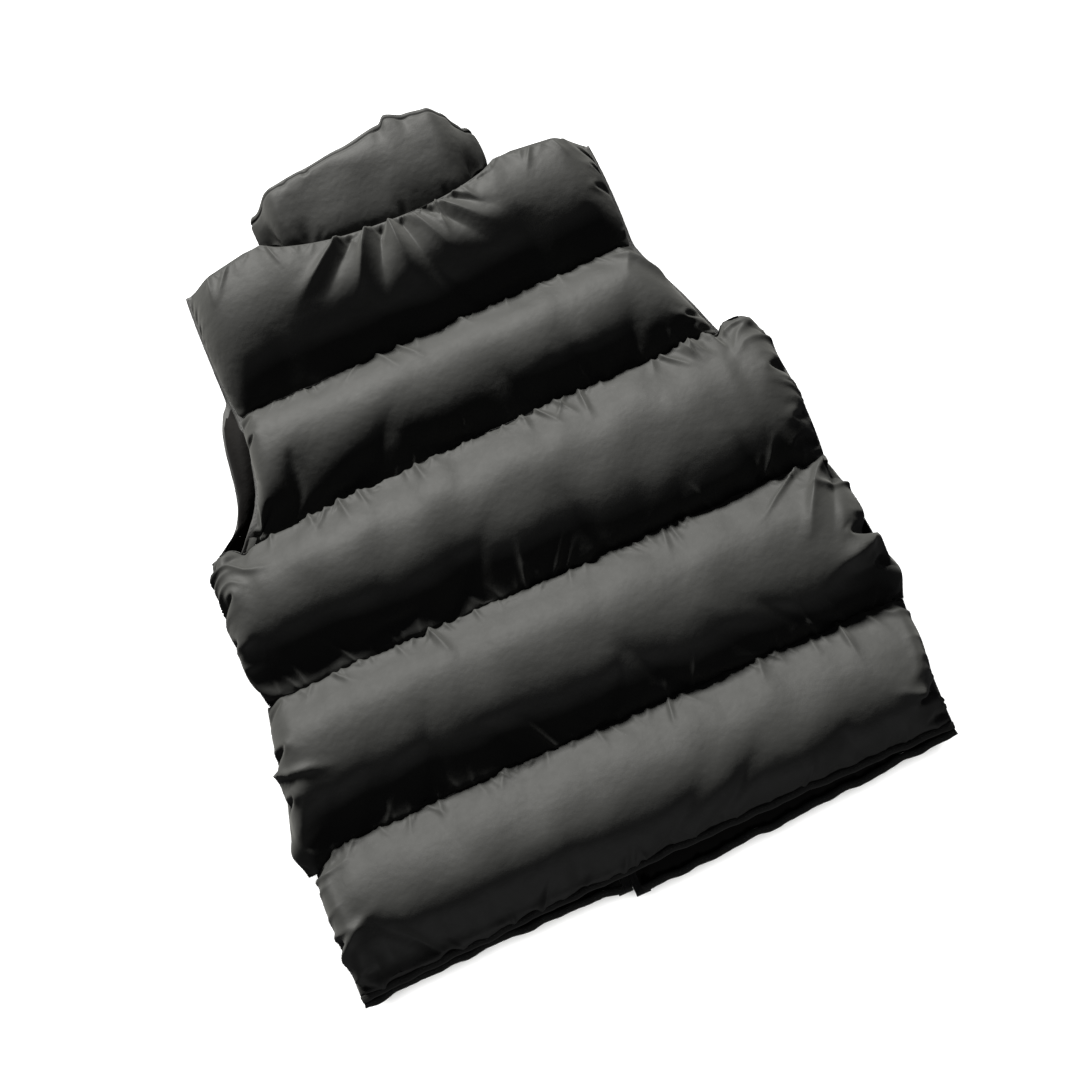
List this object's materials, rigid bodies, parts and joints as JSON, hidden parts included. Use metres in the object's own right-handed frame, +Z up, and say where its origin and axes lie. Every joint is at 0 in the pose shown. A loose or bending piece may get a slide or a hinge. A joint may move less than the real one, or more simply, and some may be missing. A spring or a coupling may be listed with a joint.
{
  "type": "puffer vest",
  "caption": "Sleeveless padded vest with a stand collar and a front zip, sewn in wide filled channels, laid flat with its back up.",
  "frame": {"origin": "the middle of the laid vest's box in plan, on the surface that it lies on", "axes": "+X to the wearer's right (the vest lies face down, so it is the right of a viewer who looks down on it with the collar at the top), +Y from the hem to the collar, +Z up from the surface"},
  "size_m": [0.5273, 0.6998, 0.0843],
  "materials": {
    "shell": "black satin woven nylon, soft sheen",
    "binding": "dark grey woven stretch binding",
    "zip_tape": "matte black woven tape",
    "zip_coil": "black nylon coil",
    "zip_metal": "black enamelled die-cast metal"
  },
  "bodies": {
    "vest": {"back_baffle_1": "shell", "back_baffle_2": "shell", "back_baffle_3": "shell", "back_baffle_4": "shell", "back_baffle_5": "shell", "front_left_baffle_1": "shell", "front_left_baffle_2": "shell", "front_left_baffle_3": "shell", "front_left_baffle_4": "shell", "front_left_baffle_5": "shell", "front_right_baffle_1": "shell", "front_right_baffle_2": "shell", "front_right_baffle_3": "shell", "front_right_baffle_4": "shell", "front_right_baffle_5": "shell", "collar": "shell", "armhole_binding_left": "binding", "armhole_binding_right": "binding", "zip_tape_left": "zip_tape", "zip_tape_right": "zip_tape", "zip_chain": "zip_coil", "zip_slider": "zip_metal"},
    "pull_tab": {"zip_pull": "zip_metal"}
  },
  "joints": [
    {"name": "pull_tab_swing", "type": "hinge", "parent": "vest", "child": "pull_tab", "pos_m": [-0.034, 0.276, 0.01795], "axis": [1, 0, 0], "range_deg": [-42, 138]}
  ]
}
